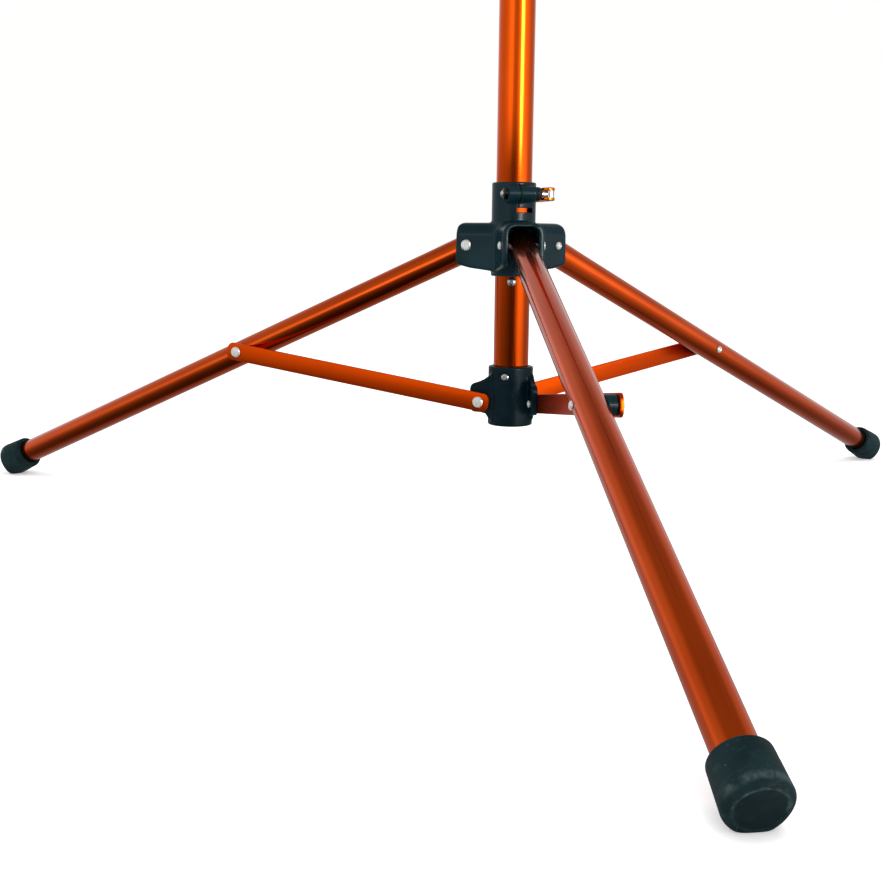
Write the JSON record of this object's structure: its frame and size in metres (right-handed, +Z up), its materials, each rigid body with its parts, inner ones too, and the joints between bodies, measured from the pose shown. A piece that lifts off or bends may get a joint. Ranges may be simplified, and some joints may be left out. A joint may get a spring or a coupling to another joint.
{
  "type": "bicycle repair stand",
  "caption": "Folding tripod workstand: legs on a sliding hub held open by flat straps, telescoping mast with quick-release clamps, and a rotating arm with a screw clamp.",
  "frame": {"origin": "on the ground, at the centre of the footprint of the open tripod", "axes": "+Z up along the mast, front leg and clamp arm towards -Y, +X to the right seen from the front"},
  "size_m": [1.244, 1.0826, 1.488],
  "materials": {
    "orange_anodised": "bright orange anodised",
    "black_plastic": "satin moulded, near black with a cool tint",
    "rubber": "matte, dusty",
    "zinc_steel": "bright zinc plated",
    "inner_plastic": "matte black"
  },
  "bodies": {
    "column": {"lower_mast_tube": "orange_anodised", "base_collar": "black_plastic", "base_collar_screw": "zinc_steel", "base_plug": "inner_plastic", "hub_stop_screw": "zinc_steel", "collar_pin_front": "zinc_steel", "collar_pin_right": "zinc_steel", "collar_pin_left": "zinc_steel", "height_clamp_body": "black_plastic", "height_clamp_rod": "zinc_steel", "height_clamp_nut": "zinc_steel", "height_clamp_cup": "inner_plastic", "height_lever_pin": "zinc_steel"},
    "hub": {"hub_body": "black_plastic", "hub_clamp_rod": "zinc_steel", "hub_clamp_nut": "zinc_steel", "hub_clamp_cup": "inner_plastic", "hub_lever_pin": "zinc_steel", "hub_pin_front": "zinc_steel", "hub_pin_right": "zinc_steel", "hub_pin_left": "zinc_steel"},
    "hub_lever": {"hub_lever": "orange_anodised"},
    "height_lever": {"height_lever": "orange_anodised"},
    "mast": {"upper_mast_tube": "orange_anodised", "mast_guide_bush": "inner_plastic", "head_body": "black_plastic", "head_fixing_screw": "zinc_steel"},
    "arm": {"clamp_arm_tube": "orange_anodised", "clamp_arm_cap": "black_plastic", "clamp_body": "black_plastic", "fixed_jaw_pad": "rubber"},
    "arm_lock": {"arm_lock_knob": "black_plastic", "arm_lock_screw": "zinc_steel"},
    "moving_jaw": {"moving_jaw": "black_plastic", "moving_jaw_pad": "rubber"},
    "jaw_screw": {"jaw_screw": "zinc_steel", "jaw_knob": "black_plastic"},
    "leg_front": {"leg_tube_front": "orange_anodised", "leg_top_plug_front": "inner_plastic", "foot_front": "rubber", "strap_spacer_front": "black_plastic", "strap_pin_front": "zinc_steel"},
    "strap_front": {"strap_front": "orange_anodised", "strap_rivet_front": "zinc_steel"},
    "leg_right": {"leg_tube_right": "orange_anodised", "leg_top_plug_right": "inner_plastic", "foot_right": "rubber", "strap_spacer_right": "black_plastic", "strap_pin_right": "zinc_steel"},
    "strap_right": {"strap_right": "orange_anodised", "strap_rivet_right": "zinc_steel"},
    "leg_left": {"leg_tube_left": "orange_anodised", "leg_top_plug_left": "inner_plastic", "foot_left": "rubber", "strap_spacer_left": "black_plastic", "strap_pin_left": "zinc_steel"},
    "strap_left": {"strap_left": "orange_anodised", "strap_rivet_left": "zinc_steel"}
  },
  "joints": [
    {"name": "hub_slide", "type": "slide", "parent": "column", "child": "hub", "axis": [0, 0, 1], "range_m": [0, 0.45308]},
    {"name": "leg_front_fold", "type": "hinge", "parent": "hub", "child": "leg_front", "pos_m": [0, 0.126, 0.3075], "axis": [1, 0, 0], "range_deg": [0, 63.3]},
    {"name": "leg_right_fold", "type": "hinge", "parent": "hub", "child": "leg_right", "pos_m": [0.0394, 0.19425, 0.3075], "axis": [-0.5, 0.866, 0], "range_deg": [0, 63.3]},
    {"name": "leg_left_fold", "type": "hinge", "parent": "hub", "child": "leg_left", "pos_m": [-0.0394, 0.19425, 0.3075], "axis": [-0.5, -0.866, 0], "range_deg": [0, 63.3]},
    {"name": "strap_front_swing", "type": "hinge", "parent": "column", "child": "strap_front", "pos_m": [0, 0.1432, 0.1389], "axis": [-1, 0, 0], "range_deg": [0, 76.13]},
    {"name": "strap_right_swing", "type": "hinge", "parent": "column", "child": "strap_right", "pos_m": [0.02451, 0.18565, 0.1389], "axis": [0.5, -0.866, 0], "range_deg": [0, 76.13]},
    {"name": "strap_left_swing", "type": "hinge", "parent": "column", "child": "strap_left", "pos_m": [-0.02451, 0.18565, 0.1389], "axis": [0.5, 0.866, 0], "range_deg": [0, 76.13]},
    {"name": "hub_lever_turn", "type": "hinge", "parent": "hub", "child": "hub_lever", "pos_m": [0.0334, 0.146, 0.361], "axis": [0, 0, 1], "range_deg": [-130, 0]},
    {"name": "mast_slide", "type": "slide", "parent": "column", "child": "mast", "axis": [0, 0, 1], "range_m": [-0.4, 0.2]},
    {"name": "height_lever_turn", "type": "hinge", "parent": "column", "child": "height_lever", "pos_m": [0.0334, 0.146, 0.914], "axis": [0, 0, 1], "range_deg": [-130, 0]},
    {"name": "arm_turn", "type": "hinge", "parent": "mast", "child": "arm", "pos_m": [0, 0.1715, 1.432], "axis": [0, 1, 0], "continuous": true},
    {"name": "arm_lock_turn", "type": "hinge", "parent": "mast", "child": "arm_lock", "pos_m": [0.03, 0.1455, 1.432], "axis": [1, 0, 0], "continuous": true},
    {"name": "jaw_screw_turn", "type": "hinge", "parent": "moving_jaw", "child": "jaw_screw", "pos_m": [0, -0.0645, 1.35], "axis": [0, 0, 1], "range_deg": [-1620.5, 270.5]},
    {"name": "jaw_slide", "type": "slide", "parent": "arm", "child": "moving_jaw", "axis": [0, 0, 1], "range_m": [-0.006, 0.036]}
  ],
  "couplings": [
    {"joint": "leg_front_fold", "follows": "hub_slide", "rad_per_m": 2.4346},
    {"joint": "leg_right_fold", "follows": "hub_slide", "rad_per_m": 2.4346},
    {"joint": "leg_left_fold", "follows": "hub_slide", "rad_per_m": 2.4346},
    {"joint": "strap_front_swing", "follows": "hub_slide", "rad_per_m": 2.9289},
    {"joint": "strap_right_swing", "follows": "hub_slide", "rad_per_m": 2.9289},
    {"joint": "strap_left_swing", "follows": "hub_slide", "rad_per_m": 2.9289},
    {"joint": "jaw_screw_turn", "follows": "jaw_slide", "rad_per_m": -785.4}
  ]
}
